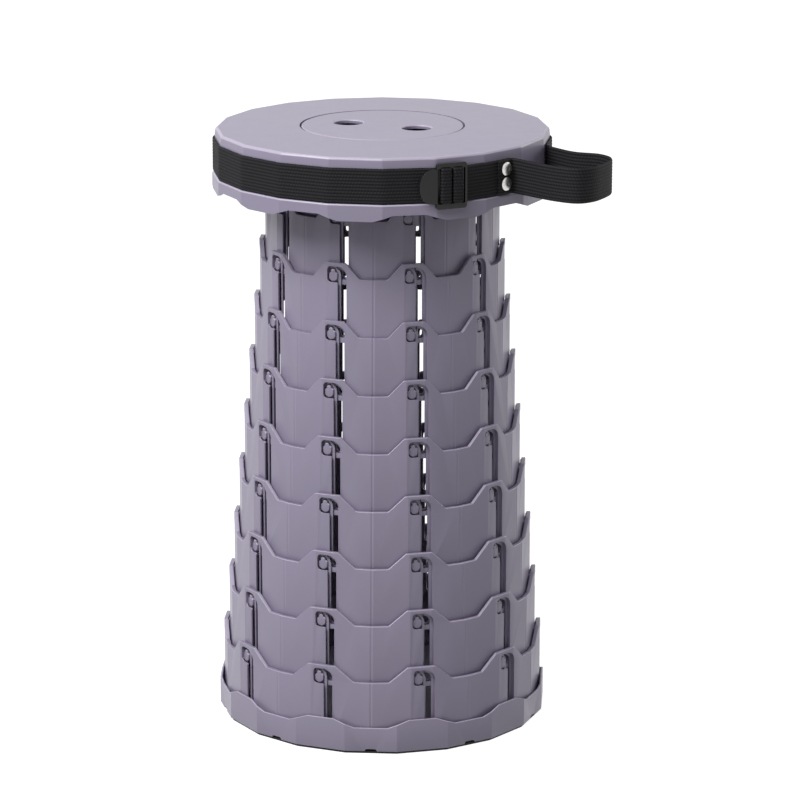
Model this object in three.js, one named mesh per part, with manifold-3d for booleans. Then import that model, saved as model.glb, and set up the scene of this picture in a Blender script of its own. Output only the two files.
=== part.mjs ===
// Collapsible telescopic stool: nested ring sections that slide into a base cup,
// a seat cap with a finger-hole disc, and a webbing carry strap. Millimetres, +Z up.
// Azimuths are in degrees from the front (-Y) towards +X.
import * as THREE from "three";
import { mergeVertices } from "three/addons/utils/BufferGeometryUtils.js";
import Module from "manifold-3d";

const wasm = await Module();
wasm.setup();

// Clearances shared by the whole part
const fit = 0.3;
const overrun = 5;
const fullTurn = 360;

// Telescoping rings: ring_1 is the innermost at the top, ring_9 stands in the base cup
const ringCount = 9;
const topRingRadius = 88;
const ringWall = 3;
const ringGap = 1.2;
const ringHeight = 59.3;
const ringOverlap = 16.6;
const troughDepth = 11.7;

// Pattern of the ring walls: ten periods of a crease, a facet, a crown facet and a facet
const periods = 10;
const periodAngle = fullTurn / periods;
const creaseAzimuth = -4;
const crownHalfAngle = 4;
const crownAzimuth = creaseAzimuth + periodAngle / 2;
const troughFlatAngle = 6.3;
const troughTopAngle = 12.9;

// J-shaped lock slot, measured from the crown facet's centre line and the ring's bottom
const slotLeft = 2;
const slotRight = 10.4;
const slotBottom = 4.5;
const slotCorner = 1.5;
const pocketLeft = -6.15;
const pocketRoom = 2.6;
const pocketCorner = 1.8;
const archStart = 1.5;
const archRise = 10;
const lipWidth = 0.45;
const lipHeight = 1.3;
const arcSegmentCount = 2;

// Lock pins, and the channel behind the slot that lets them pass
const pinCentre = -2.2;
const pinWidth = 6.9;
const pinHeight = 9.1;
const pinBottom = 2.3;
const pinReach = 1.5;
const pinOutlineShares = [
  [-0.5, 0.15],
  [0, 0],
  [0.5, 0.15],
  [0.5, 0.72],
  [-0.3, 1],
];

// Base cup and its foot mat
const sides = 20;
const sideAngle = fullTurn / sides;
const matThickness = 1.8;
const matInset = 2;
const baseFloor = 4.5;
const baseWall = 1.5;
const baseClearance = 0.4;
const baseRimRise = 19.6;
const baseTroughDepth = 5.8;
const baseTroughFlatAngle = 5.8;
const baseTroughTopAngle = 13.1;
const baseTurn = creaseAzimuth + sideAngle / 2;
const footNotchWidth = 9;
const footNotchHeight = 1.7;
const footNotchDepth = 4;

// Seat cap
const plateThickness = 3.4;
const skirtClearance = 0.5;
const skirtWall = 1.3;
const skirtDrop = 46.3;
const flangeWall = 3.3;
const flangeDrop = 33.5;
const strapShelfDrop = 7;
const rimInset = 0.5;
const rimRound = 1.8;
const roundShare = 1 / 3;
const skirtTopChamfer = 1.5;
const lobeHeight = 4.8;
const notchAzimuth = 9;
const notchFlatAngle = 5.5;
const notchOpenAngle = 12.5;
const ledgeWidth = 4.6;
const ledgeThickness = 1.4;
const ribCount = 10;
const ribThickness = 2;
const ribHeight = 9;

// Seat tube and centre disc
const tubeHeight = 55.1;
const discRadius = 60.4;
const discEdge = 0.5;
const discSides = 36;
const holeRadius = 11;
const holeRound = 0.9;
const holeSides = 16;
const holeCircleRadius = 27.6;
const holeAzimuth = 66.5;

// Webbing strap
const strapWidth = 25;
const strapThickness = 1.3;
const strapLift = 1.2;
const bandStartAzimuth = 76;
const bandAzimuthsAtBuckle = { tail: 4.4, tuck: 2.2, lead: -9 };
const bandPointCount = 26;
const anchorAzimuthPastBuckle = 10.5;
const anchorAzimuthPastRivets = 3;
const anchorPointCount = 22;

// Carry loop: its end under the rivets, then a free bow whose shares are of its length
const loopLength = 67.3;
const loopGapAzimuth = 0.25;
const loopPointCount = 32;
const loopEndAzimuths = [41.5, 44.5, 47.4];
const loopRouteShares = [
  [48.4, 0.05],
  [47.7, 0.31],
  [47.2, 0.63],
  [48.1, 0.9],
  [50.5, 1],
  [54.9, 1.01],
  [62.4, 0.97],
  [66.4, 0.75],
  [66.6, 0.44],
  [70.5, 0.15],
  [73.2, 0.03],
];

// Ladder-lock buckle on the strap, and the rivets beside it
const buckleAzimuth = 23.2;
const buckleWidth = 22;
const buckleHeight = 33.4;
const buckleDepth = 2.4;
const buckleCorner = 3;
const barWidth = 3.5;
const middleBarWidth = 4;
const buckleSlotHeight = 26;
const tabLength = 13.5;
const tabHeight = 25;
const tabPullShare = 4 / 3;
const rivetAzimuth = 45;
const rivetSpacing = 11;
const rivetHeadRadius = 5;
const rivetDome = 2;
const rivetDomeShares = [
  [1, 0],
  [1, 0.25],
  [0.78, 0.72],
  [0.4, 0.95],
  [0, 1],
];
const rivetShank = 1.5;
const rivetSides = 12;

// Values that follow from the sizes above
const ringTravel = ringHeight - ringOverlap;
const skin = ringWall - pinReach - fit;
const pocketFloor = ringTravel + pinBottom - fit;
const pocketTop = ringTravel + pinBottom + pinHeight + pocketRoom;
const baseBottom = matThickness + fit;
const floorTop = baseBottom + baseFloor;
const firstRingBottom = floorTop + fit;
const outerRingRadius = ringRadius(ringCount);
const tubeBottom = ringBottom(0);
const plateBottom = tubeBottom + tubeHeight + fit;
const seatTop = plateBottom + plateThickness;
const skirtInside = outerRingRadius + skirtClearance;
const strapInside = skirtInside + skirtWall + fit;
const strapBottom = seatTop - flangeDrop + strapLift;
const strapMiddle = strapBottom + strapWidth / 2;
const flangeFace = skirtInside + flangeWall;
const innerLayer = strapInside + strapThickness / 2;
const outerLayer = innerLayer + strapThickness + fit;
const rivetSeat = outerLayer + strapThickness / 2 + fit;
const buckleBack = flangeFace / Math.cos(radians(sideAngle / 2));
const buckleFront = buckleBack + buckleDepth;

const lilacGrey = 0x837c8f;
const webbingBlack = 0x17171a;
const buckleBlack = 0x101012;
const nickel = 0xc9c6c2;

function ringRadius(index) {
  return topRingRadius + (index - 1) * (ringWall + ringGap);
}

function ringBottom(index) {
  return firstRingBottom + (ringCount - index) * ringTravel;
}

function radians(degrees) {
  return THREE.MathUtils.degToRad(degrees);
}

// Point in plan at a radius and an azimuth
function polar(radius, azimuth) {
  return new THREE.Vector2(radius * Math.sin(radians(azimuth)), -radius * Math.cos(radians(azimuth)));
}

// Corner radius of a regular outline whose flat sides lie at this distance
function cornerRadius(flatDistance) {
  return flatDistance / Math.cos(radians(sideAngle / 2));
}

function solidOf(geometry) {
  geometry.deleteAttribute("normal");
  geometry.deleteAttribute("uv");
  const merged = mergeVertices(geometry);
  const vertProperties = merged.attributes.position.array;
  const triVerts = new Uint32Array(merged.index.array);
  return new wasm.Manifold(new wasm.Mesh({ numProp: 3, vertProperties, triVerts }));
}

function geometryOf(solid) {
  const mesh = solid.getMesh();
  const geometry = new THREE.BufferGeometry();
  geometry.setAttribute("position", new THREE.BufferAttribute(mesh.vertProperties, 3));
  geometry.setIndex(new THREE.BufferAttribute(mesh.triVerts, 1));
  return geometry;
}

function joined(solids) {
  return solids.reduce((whole, piece) => whole.add(piece));
}

function cut(solid, cutters) {
  return cutters.reduce((left, cutter) => left.subtract(cutter), solid);
}

// Upright prism of a plan outline
function prism(points, bottom, top) {
  const shape = new THREE.Shape(points);
  const geometry = new THREE.ExtrudeGeometry(shape, { depth: top - bottom, bevelEnabled: false });
  geometry.translate(0, 0, bottom);
  return solidOf(geometry);
}

// Prism of an upright outline, x along the wall and y up, that runs outward at an azimuth
function radialPrism(shape, azimuth, inner, outer) {
  const options = { depth: outer - inner, bevelEnabled: false, curveSegments: arcSegmentCount };
  const geometry = new THREE.ExtrudeGeometry(shape, options);
  const outward = polar(1, azimuth);
  const out = new THREE.Vector3(outward.x, outward.y, 0);
  const up = new THREE.Vector3(0, 0, 1);
  const along = new THREE.Vector3().crossVectors(up, out);
  geometry.translate(0, 0, inner);
  geometry.applyMatrix4(new THREE.Matrix4().makeBasis(along, up, out));
  return solidOf(geometry);
}

function rectangle(left, right, bottom, top) {
  const shape = new THREE.Shape();
  shape.moveTo(left, bottom);
  shape.lineTo(right, bottom);
  shape.lineTo(right, top);
  shape.lineTo(left, top);
  return shape;
}

// Notch that opens from a narrow end to a wide end, given by half angles on a wall
function notchPrism(radius, azimuth, narrowAngle, wideAngle, narrowZ, wideZ, depth) {
  const narrow = radius * Math.sin(radians(narrowAngle));
  const wide = radius * Math.sin(radians(wideAngle));
  const reach = wideZ + (wideZ > narrowZ ? overrun : -overrun);
  const shape = new THREE.Shape();
  shape.moveTo(-narrow, narrowZ);
  shape.lineTo(narrow, narrowZ);
  shape.lineTo(wide, wideZ);
  shape.lineTo(wide, reach);
  shape.lineTo(-wide, reach);
  shape.lineTo(-wide, wideZ);
  return radialPrism(shape, azimuth, radius * Math.cos(radians(wideAngle)) - depth, radius + overrun);
}

// Walls of the rings

function wallOutline(radius) {
  const points = [];
  for (let n = 0; n < periods; n++) {
    const crease = creaseAzimuth + n * periodAngle;
    points.push(polar(radius, crease));
    points.push(polar(radius, crease + periodAngle / 2 - crownHalfAngle));
    points.push(polar(radius, crease + periodAngle / 2 + crownHalfAngle));
  }
  return points;
}

function slotOutline() {
  const lipTop = pocketFloor + lipHeight;
  const shape = new THREE.Shape();
  shape.moveTo(slotLeft, slotBottom);
  shape.lineTo(slotRight - slotCorner, slotBottom);
  shape.lineTo(slotRight, slotBottom + slotCorner);
  shape.lineTo(slotRight, pocketTop - archRise);
  shape.quadraticCurveTo(slotRight, pocketTop, archStart, pocketTop);
  shape.lineTo(pocketLeft + pocketCorner, pocketTop);
  shape.lineTo(pocketLeft, pocketTop - pocketCorner);
  shape.lineTo(pocketLeft, pocketFloor + pocketCorner);
  shape.lineTo(pocketLeft + pocketCorner, pocketFloor);
  shape.lineTo(slotLeft - lipWidth, pocketFloor);
  shape.lineTo(slotLeft, lipTop);
  return shape;
}

function pinShape() {
  const points = pinOutlineShares.map(([across, up]) => {
    return new THREE.Vector2(pinCentre + across * pinWidth, pinBottom + up * pinHeight);
  });
  return new THREE.Shape(points);
}

function crownAzimuths() {
  return Array.from({ length: periods }, (unused, n) => crownAzimuth + n * periodAngle);
}

function pins(radius) {
  const flat = radius * Math.cos(radians(crownHalfAngle));
  const root = flat - skin / 2;
  const tip = flat + ringGap + pinReach;
  return joined(crownAzimuths().map((azimuth) => radialPrism(pinShape(), azimuth, root, tip)));
}

// Lock slots through a ring's wall, each with a guide channel behind it for the pin inside
function lockCutters(radius) {
  const flat = radius * Math.cos(radians(crownHalfAngle));
  const inner = flat - 2 * ringWall;
  const guide = rectangle(pocketLeft, slotLeft, -overrun, pocketTop);
  return crownAzimuths().flatMap((azimuth) => {
    const slot = radialPrism(slotOutline(), azimuth, inner, radius + overrun);
    return [slot, radialPrism(guide, azimuth, inner, flat - skin)];
  });
}

function ringTroughs(radius) {
  const cutters = [];
  for (let n = 0; n < periods; n++) {
    const azimuth = creaseAzimuth + n * periodAngle;
    const low = ringHeight - troughDepth;
    const depth = 2 * ringWall;
    cutters.push(notchPrism(radius, azimuth, troughFlatAngle, troughTopAngle, low, ringHeight, depth));
  }
  return cutters;
}

function wall(radius, height) {
  const outside = prism(wallOutline(radius), 0, height);
  return outside.subtract(prism(wallOutline(radius - ringWall), -overrun, height + overrun));
}

function ring(index) {
  const radius = ringRadius(index);
  const body = cut(wall(radius, ringHeight), [...ringTroughs(radius), ...lockCutters(radius)]);
  return index < ringCount ? body.add(pins(radius)) : body;
}

function seatTube() {
  const radius = ringRadius(0);
  return wall(radius, tubeHeight).add(pins(radius));
}

// Base

function polygon(flatDistance, turn) {
  const corner = cornerRadius(flatDistance);
  return Array.from({ length: sides }, (unused, n) => polar(corner, turn + n * sideAngle));
}

function footNotch() {
  const shape = new THREE.Shape();
  shape.moveTo(-footNotchWidth / 2, baseBottom - overrun);
  shape.lineTo(footNotchWidth / 2, baseBottom - overrun);
  shape.lineTo(footNotchWidth / 2, baseBottom);
  shape.quadraticCurveTo(0, baseBottom + 2 * footNotchHeight, -footNotchWidth / 2, baseBottom);
  return shape;
}

function baseCup() {
  const inside = outerRingRadius + baseClearance;
  const outside = inside + baseWall;
  const rim = floorTop + baseRimRise;
  const shell = prism(polygon(outside, baseTurn), baseBottom, rim);
  const cutters = [prism(polygon(inside, baseTurn), floorTop, rim + overrun)];
  for (let n = 0; n < periods; n++) {
    const azimuth = creaseAzimuth + n * periodAngle;
    const low = rim - baseTroughDepth;
    const depth = 2 * ringWall;
    cutters.push(notchPrism(outside, azimuth, baseTroughFlatAngle, baseTroughTopAngle, low, rim, depth));
    cutters.push(radialPrism(footNotch(), azimuth, outside - footNotchDepth, outside + overrun));
  }
  return cut(shell, cutters);
}

function footMat() {
  const flat = outerRingRadius + baseClearance + baseWall - matInset;
  return prism(polygon(flat, baseTurn), 0, matThickness);
}

// Seat

function revolved(profile, segments) {
  const points = profile.map(([radius, z]) => new THREE.Vector2(radius, z));
  const geometry = new THREE.LatheGeometry(points, segments);
  geometry.rotateX(Math.PI / 2);
  return solidOf(geometry);
}

function seatCapProfile() {
  const inner = cornerRadius(skirtInside);
  const groove = cornerRadius(skirtInside + skirtWall);
  const flange = cornerRadius(flangeFace);
  const rim = groove - rimInset;
  return [
    [0, plateBottom],
    [inner - skirtTopChamfer, plateBottom],
    [inner, plateBottom - skirtTopChamfer],
    [inner, seatTop - skirtDrop],
    [flange, seatTop - skirtDrop],
    [flange, seatTop - flangeDrop],
    [groove, seatTop - flangeDrop],
    [groove, seatTop - strapShelfDrop],
    [rim, seatTop - rimRound],
    [rim - rimRound * roundShare, seatTop - rimRound * roundShare],
    [rim - rimRound, seatTop],
    [0, seatTop],
  ];
}

// Recess and bore of the plate, round the centre disc
function discSeat() {
  const bore = discRadius - ledgeWidth;
  const ledge = plateBottom + ledgeThickness;
  const profile = [
    [0, plateBottom - overrun],
    [bore, plateBottom - overrun],
    [bore, ledge],
    [discRadius + fit, ledge],
    [discRadius + fit, seatTop + overrun],
    [0, seatTop + overrun],
  ];
  return revolved(profile, discSides);
}

function seatRibs() {
  const ribs = [];
  const outer = ringRadius(0) - ringWall - ringGap;
  const inner = discRadius - ledgeWidth;
  const low = plateBottom - ribHeight;
  const high = plateBottom + ledgeThickness / 2;
  const shape = rectangle(-ribThickness / 2, ribThickness / 2, low, high);
  for (let n = 0; n < ribCount; n++) {
    const azimuth = crownAzimuth + (n * fullTurn) / ribCount;
    ribs.push(radialPrism(shape, azimuth, inner + ribThickness / 2, outer));
  }
  const hub = [
    [inner, low],
    [inner + ribThickness, low],
    [inner + ribThickness, high],
    [inner, high],
    [inner, low],
  ];
  return joined([revolved(hub, sides), ...ribs]);
}

// Solid of revolution whose axis runs outward through the rivets' side, at a height
function revolvedOutward(profile, segments, z) {
  const outward = polar(1, rivetAzimuth);
  const out = new THREE.Vector3(outward.x, outward.y, 0);
  const up = new THREE.Vector3(0, 0, 1);
  const along = new THREE.Vector3().crossVectors(up, out);
  const geometry = geometryOf(revolved(profile, segments));
  geometry.applyMatrix4(new THREE.Matrix4().makeBasis(along, up, out));
  geometry.translate(0, 0, z);
  return solidOf(geometry);
}

function rivetHoles() {
  const radius = rivetShank + fit;
  const profile = [
    [0, skirtInside - overrun],
    [radius, skirtInside - overrun],
    [radius, flangeFace + overrun],
    [0, flangeFace + overrun],
  ];
  return rivetHeights().map((z) => revolvedOutward(profile, rivetSides, z));
}

function rivetHeights() {
  return [strapMiddle + rivetSpacing / 2, strapMiddle - rivetSpacing / 2];
}

function seatCap() {
  const bottom = seatTop - skirtDrop;
  const cutters = [discSeat(), ...rivetHoles()];
  for (let n = 0; n < periods; n++) {
    const azimuth = notchAzimuth + n * periodAngle;
    const high = bottom + lobeHeight;
    const depth = 2 * flangeWall;
    cutters.push(notchPrism(flangeFace, azimuth, notchFlatAngle, notchOpenAngle, high, bottom, depth));
  }
  return cut(revolved(seatCapProfile(), sides), cutters).add(seatRibs());
}

function seatDisc() {
  const bottom = plateBottom + ledgeThickness + fit;
  const profile = [
    [0, bottom],
    [discRadius, bottom],
    [discRadius, seatTop - discEdge],
    [discRadius - discEdge, seatTop],
    [0, seatTop],
  ];
  const holeProfile = [
    [0, bottom - overrun],
    [holeRadius, bottom - overrun],
    [holeRadius, seatTop - holeRound],
    [holeRadius + holeRound * roundShare, seatTop - holeRound * roundShare],
    [holeRadius + holeRound, seatTop],
    [holeRadius + holeRound, seatTop + overrun],
    [0, seatTop + overrun],
  ];
  const holes = [holeAzimuth, holeAzimuth + fullTurn / 2].map((azimuth) => {
    const place = polar(holeCircleRadius, azimuth);
    return revolved(holeProfile, holeSides).translate([place.x, place.y, 0]);
  });
  return cut(revolved(profile, discSides), holes);
}

// Strap

// Distance of a side's flat face from the axis, along an azimuth, when its middle lies at flatDistance
function faceRadius(flatDistance, azimuth) {
  const middle = (Math.floor(azimuth / sideAngle) + 1 / 2) * sideAngle;
  return flatDistance / Math.cos(radians(azimuth - middle));
}

// Upright ribbon of webbing along a centre line in plan
function ribbon(line) {
  const left = [];
  const right = [];
  line.forEach((point, n) => {
    const before = line[Math.max(n - 1, 0)];
    const after = line[Math.min(n + 1, line.length - 1)];
    const along = new THREE.Vector2().subVectors(after, before).normalize();
    const across = new THREE.Vector2(-along.y, along.x).multiplyScalar(strapThickness / 2);
    left.push(new THREE.Vector2().addVectors(point, across));
    right.push(new THREE.Vector2().subVectors(point, across));
  });
  return prism([...right, ...left.reverse()], strapBottom, strapBottom + strapWidth);
}

function smooth(points, steps) {
  const curve = new THREE.SplineCurve(points);
  return curve.getPoints(steps);
}

function onFace(flatDistance, azimuth) {
  return polar(faceRadius(flatDistance, azimuth), azimuth);
}

function carryLoop() {
  const ends = loopEndAzimuths.map((azimuth) => onFace(outerLayer, azimuth));
  const free = loopRouteShares.map(([azimuth, share]) => {
    return polar(faceRadius(innerLayer, azimuth) + share * loopLength, azimuth);
  });
  const root = onFace(innerLayer, bandStartAzimuth - loopGapAzimuth);
  const line = smooth([...ends, ...free, root], loopPointCount);
  return cut(ribbon(line), rivetHoles());
}

// Plan point beside the buckle: across its face, and out from the axis
function besideBuckle(across, out) {
  const point = polar(out, buckleAzimuth);
  return point.addScaledVector(polar(1, buckleAzimuth + 90), across);
}

// Centre lines of the webbing: behind the bars, and over them
function layersAtBuckle() {
  const room = fit + strapThickness / 2;
  return { room, behind: buckleBack - room, over: buckleFront + room };
}

function strapBand() {
  const { room, behind, over } = layersAtBuckle();
  const { tail, tuck, lead } = bandAzimuthsAtBuckle;
  const side = middleBarWidth / 2 + room;
  const weave = [
    onFace(innerLayer, buckleAzimuth + tail),
    onFace(innerLayer, buckleAzimuth + tuck),
    besideBuckle(side, buckleBack),
    besideBuckle(side, buckleFront),
    besideBuckle(middleBarWidth / 2, over),
    besideBuckle(-middleBarWidth / 2, over),
    besideBuckle(-side, buckleFront),
    besideBuckle(-side, buckleBack),
    besideBuckle(-side - room, behind),
    besideBuckle(-buckleWidth / 2, behind),
    onFace(innerLayer, buckleAzimuth + lead),
  ];
  const line = smooth(weave, bandPointCount);
  for (let azimuth = 0; azimuth > bandStartAzimuth - fullTurn; azimuth -= sideAngle) {
    line.push(polar(cornerRadius(innerLayer), azimuth));
  }
  line.push(onFace(innerLayer, bandStartAzimuth - fullTurn));
  return ribbon(line);
}

function strapAnchor() {
  const { room, behind, over } = layersAtBuckle();
  const barEdge = buckleWidth / 2 - barWidth;
  const bend = [
    besideBuckle(buckleWidth / 2, behind),
    besideBuckle(barEdge + room / 2, behind),
    besideBuckle(barEdge - room, buckleBack),
    besideBuckle(barEdge - room, buckleFront),
    besideBuckle(barEdge + room / 2, over),
    besideBuckle(buckleWidth / 2, over),
    onFace(innerLayer, buckleAzimuth + anchorAzimuthPastBuckle),
  ];
  const line = smooth(bend, anchorPointCount);
  line.push(polar(cornerRadius(innerLayer), 2 * sideAngle));
  line.push(onFace(innerLayer, rivetAzimuth + anchorAzimuthPastRivets));
  return cut(ribbon(line), rivetHoles());
}

// Buckle and rivets

function buckleOutline() {
  const half = buckleWidth / 2;
  const top = strapMiddle + buckleHeight / 2;
  const bottom = strapMiddle - buckleHeight / 2;
  const tab = tabHeight / 2;
  const shape = new THREE.Shape();
  shape.moveTo(-half + buckleCorner, bottom);
  shape.lineTo(half - buckleCorner, bottom);
  shape.quadraticCurveTo(half, bottom, half, bottom + buckleCorner);
  shape.lineTo(half, top - buckleCorner);
  shape.quadraticCurveTo(half, top, half - buckleCorner, top);
  shape.lineTo(-half + buckleCorner, top);
  shape.quadraticCurveTo(-half, top, -half, strapMiddle + tab);
  const reach = -half - tabLength * tabPullShare;
  shape.bezierCurveTo(reach, strapMiddle + tab, reach, strapMiddle - tab, -half, strapMiddle - tab);
  shape.quadraticCurveTo(-half, bottom, -half + buckleCorner, bottom);
  return shape;
}

function buckleFrame() {
  const far = buckleWidth / 2 - barWidth;
  const near = middleBarWidth / 2;
  const low = strapMiddle - buckleSlotHeight / 2;
  const high = strapMiddle + buckleSlotHeight / 2;
  const slots = [rectangle(-far, -near, low, high), rectangle(near, far, low, high)].map((slot) => {
    return radialPrism(slot, buckleAzimuth, buckleBack - overrun, buckleFront + overrun);
  });
  return cut(radialPrism(buckleOutline(), buckleAzimuth, buckleBack, buckleFront), slots);
}

function rivet(z) {
  const shank = [
    [0, skirtInside + fit],
    [rivetShank, skirtInside + fit],
    [rivetShank, rivetSeat],
  ];
  const head = rivetDomeShares.map(([out, up]) => [rivetHeadRadius * out, rivetSeat + rivetDome * up]);
  return revolvedOutward([...shank, ...head], rivetSides, z);
}

// Whole stool

const plastic = new THREE.MeshStandardMaterial({ color: lilacGrey, roughness: 0.5, metalness: 0 });
const webbing = new THREE.MeshStandardMaterial({ color: webbingBlack, roughness: 0.9, metalness: 0 });
const moulding = new THREE.MeshStandardMaterial({ color: buckleBlack, roughness: 0.4, metalness: 0 });
const metal = new THREE.MeshStandardMaterial({ color: nickel, roughness: 0.2, metalness: 1 });

const stool = new THREE.Group();

function place(name, geometry, material, parent = stool, z = 0) {
  const mesh = new THREE.Mesh(geometry, material);
  mesh.name = name;
  mesh.position.z = z;
  parent.add(mesh);
}

place("foot_mat", geometryOf(footMat()), moulding);
place("base_cup", geometryOf(baseCup()), plastic);
for (let index = ringCount; index > 0; index--) {
  place("ring_" + index, geometryOf(ring(index)), plastic, stool, ringBottom(index));
}

const seat = new THREE.Group();
place("seat_tube", geometryOf(seatTube()), plastic, seat, tubeBottom);
place("seat_cap", geometryOf(seatCap()), plastic, seat);
place("seat_disc", geometryOf(seatDisc()), plastic, seat);
place("strap_band", geometryOf(strapBand()), webbing, seat);
place("carry_loop", geometryOf(carryLoop()), webbing, seat);
place("strap_anchor", geometryOf(strapAnchor()), webbing, seat);
place("buckle_frame", geometryOf(buckleFrame()), moulding, seat);
const [upper, lower] = rivetHeights();
place("rivet_upper", geometryOf(rivet(upper)), metal, seat);
place("rivet_lower", geometryOf(rivet(lower)), metal, seat);
stool.add(seat);

export default stool;
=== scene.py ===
# Collapsible telescopic stool: looks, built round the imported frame.
import math

import bpy
from mathutils import Matrix, Vector


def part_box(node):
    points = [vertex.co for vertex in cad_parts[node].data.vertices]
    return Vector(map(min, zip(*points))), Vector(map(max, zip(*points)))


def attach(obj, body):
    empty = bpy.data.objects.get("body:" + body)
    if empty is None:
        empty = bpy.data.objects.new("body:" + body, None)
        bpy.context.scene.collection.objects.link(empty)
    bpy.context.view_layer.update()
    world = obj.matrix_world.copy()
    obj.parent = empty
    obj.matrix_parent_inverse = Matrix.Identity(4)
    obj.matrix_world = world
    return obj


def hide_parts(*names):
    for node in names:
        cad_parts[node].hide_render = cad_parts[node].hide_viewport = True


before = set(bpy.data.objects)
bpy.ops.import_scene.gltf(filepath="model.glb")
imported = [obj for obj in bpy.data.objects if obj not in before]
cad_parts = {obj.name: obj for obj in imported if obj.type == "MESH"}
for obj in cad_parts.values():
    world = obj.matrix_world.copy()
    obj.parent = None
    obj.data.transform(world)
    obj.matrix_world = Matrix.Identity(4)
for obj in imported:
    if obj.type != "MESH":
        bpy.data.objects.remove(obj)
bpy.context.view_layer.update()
MM = 0.001


# Foot mat
# The thin black rubber disc glued under the base. It is cut from sheet, so its
# edge is square, and only its rim shows as a dark line on the floor.


class Wire:
    """A shader socket that takes part in Python sums, and makes nodes beside it.

    A node's sockets are given by name, with _ for a blank, or as i0, i1 and so on.
    """

    def __init__(self, tree, socket=None):
        self.tree = tree
        self.socket = socket

    def node(self, kind, settings=None, output=0, **sockets):
        node = self.tree.nodes.new(kind)
        for name, value in (settings or {}).items():
            setattr(node, name, value)
        for name, value in sockets.items():
            numbered = name[0] == "i" and name[1:].isdigit()
            key = int(name[1:]) if numbered else name.replace("_", " ")
            if isinstance(value, Wire):
                self.tree.links.new(value.socket, node.inputs[key])
            else:
                node.inputs[key].default_value = value
        return Wire(self.tree, node.outputs[output])

    def _sum(self, operation, first, second):
        return self.node("ShaderNodeMath", {"operation": operation}, i0=first, i1=second)

    def __add__(self, other):
        return self._sum("ADD", self, other)

    __radd__ = __add__

    def __sub__(self, other):
        return self._sum("SUBTRACT", self, other)

    def __rsub__(self, other):
        return self._sum("SUBTRACT", other, self)

    def __mul__(self, other):
        return self._sum("MULTIPLY", self, other)

    __rmul__ = __mul__


def new_material(name):
    """A material with its shader, and a wire to make its nodes with."""
    material = bpy.data.materials.new(name)
    material.use_nodes = True
    tree = material.node_tree
    shader = next(n for n in tree.nodes if n.type == "BSDF_PRINCIPLED")
    return material, shader, Wire(tree)


def connect(shader, **sockets):
    """Sets the shader's own sockets to plain values, or links them."""
    for name, value in sockets.items():
        key = name.replace("_", " ")
        if isinstance(value, Wire):
            value.tree.links.new(value.socket, shader.inputs[key])
        else:
            shader.inputs[key].default_value = value


def linear(red, green, blue):
    """A colour read as 0 to 255, in the shader's linear values."""
    def part(value):
        value /= 255
        return value / 12.92 if value <= 0.04045 else ((value + 0.055) / 1.055) ** 2.4

    return part(red), part(green), part(blue), 1


def object_coordinates(make):
    return make.node("ShaderNodeTexCoord", output=3)


def blend(make, share, first, second):
    """A colour between two, by share."""
    settings = {"data_type": "RGBA"}
    return make.node("ShaderNodeMix", settings, output=2, i0=share, i6=first, i7=second)


def deselect():
    if bpy.context.mode != "OBJECT":
        bpy.ops.object.mode_set(mode="OBJECT")
    for piece in bpy.context.selected_objects:
        piece.select_set(False)


def pick(piece):
    deselect()
    bpy.context.view_layer.objects.active = piece
    piece.select_set(True)


def rubber():
    material, shader, make = new_material("mat_rubber")
    grain = make.node("ShaderNodeTexNoise", Vector=object_coordinates(make), Scale=900, Detail=3)
    bump = make.node("ShaderNodeBump", Height=grain, Strength=0.3, Distance=0.0002)
    tone = blend(make, grain, linear(16, 16, 17), linear(30, 29, 31))
    connect(shader, Base_Color=tone, Roughness=0.8, Normal=bump)
    return material


def smooth(piece, angle=30):
    pick(piece)
    bpy.ops.object.shade_smooth_by_angle(angle=math.radians(angle))


def bevel(piece, width, segments=2, angle=30):
    """Rounds every edge sharper than the angle, as a mould does."""
    pick(piece)
    bpy.ops.object.mode_set(mode="EDIT")
    bpy.ops.mesh.select_all(action="SELECT")
    bpy.ops.mesh.remove_doubles(threshold=width * 0.4)
    bpy.ops.object.mode_set(mode="OBJECT")
    rounding = piece.modifiers.new("rounding", "BEVEL")
    rounding.width = width
    rounding.segments = segments
    rounding.limit_method = "ANGLE"
    rounding.angle_limit = math.radians(angle)
    bpy.ops.object.modifier_apply(modifier="rounding")


def finish_piece(piece, material, body, slot, *nodes):
    piece.data.materials.clear()
    piece.data.materials.append(material)
    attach(piece, body)
    if nodes:
        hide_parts(*nodes)


def turned(name, profile, segments, turn):
    """A closed shell whose polygon section follows a profile of (radius, height)."""
    deselect()
    radius, height = profile[0]
    bpy.ops.mesh.primitive_circle_add(vertices=segments, radius=radius, location=(0, 0, height))
    piece = bpy.context.active_object
    piece.name = name
    piece.data.transform(piece.matrix_world)
    piece.matrix_world = Matrix.Identity(4)
    piece.data.transform(Matrix.Rotation(math.radians(turn), 4, "Z"))
    bpy.ops.object.mode_set(mode="EDIT")
    bpy.ops.mesh.select_all(action="SELECT")
    bpy.ops.mesh.edge_face_add()
    for (before, low), (after, high) in zip(profile, profile[1:]):
        bpy.ops.mesh.extrude_region_move(TRANSFORM_OT_translate={"value": (0, 0, high - low)})
        share = after / before
        bpy.ops.transform.resize(value=(share, share, 1), center_override=(0, 0, high))
    bpy.ops.mesh.select_all(action="SELECT")
    bpy.ops.mesh.normals_make_consistent(inside=False)
    bpy.ops.object.mode_set(mode="OBJECT")
    return piece


SIDES = 20
SIDE_TURN = 5
mat_low, mat_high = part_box("foot_mat")
mat_radius = mat_high.x / math.cos(math.radians(SIDE_TURN))
mat_profile = [(mat_radius, mat_low.z), (mat_radius, mat_high.z)]
foot_mat = turned("foot_mat_sheet", mat_profile, SIDES, SIDE_TURN)
bevel(foot_mat, 0.25 * MM)
smooth(foot_mat)
finish_piece(foot_mat, rubber(), "base", "mat", "foot_mat")


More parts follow.
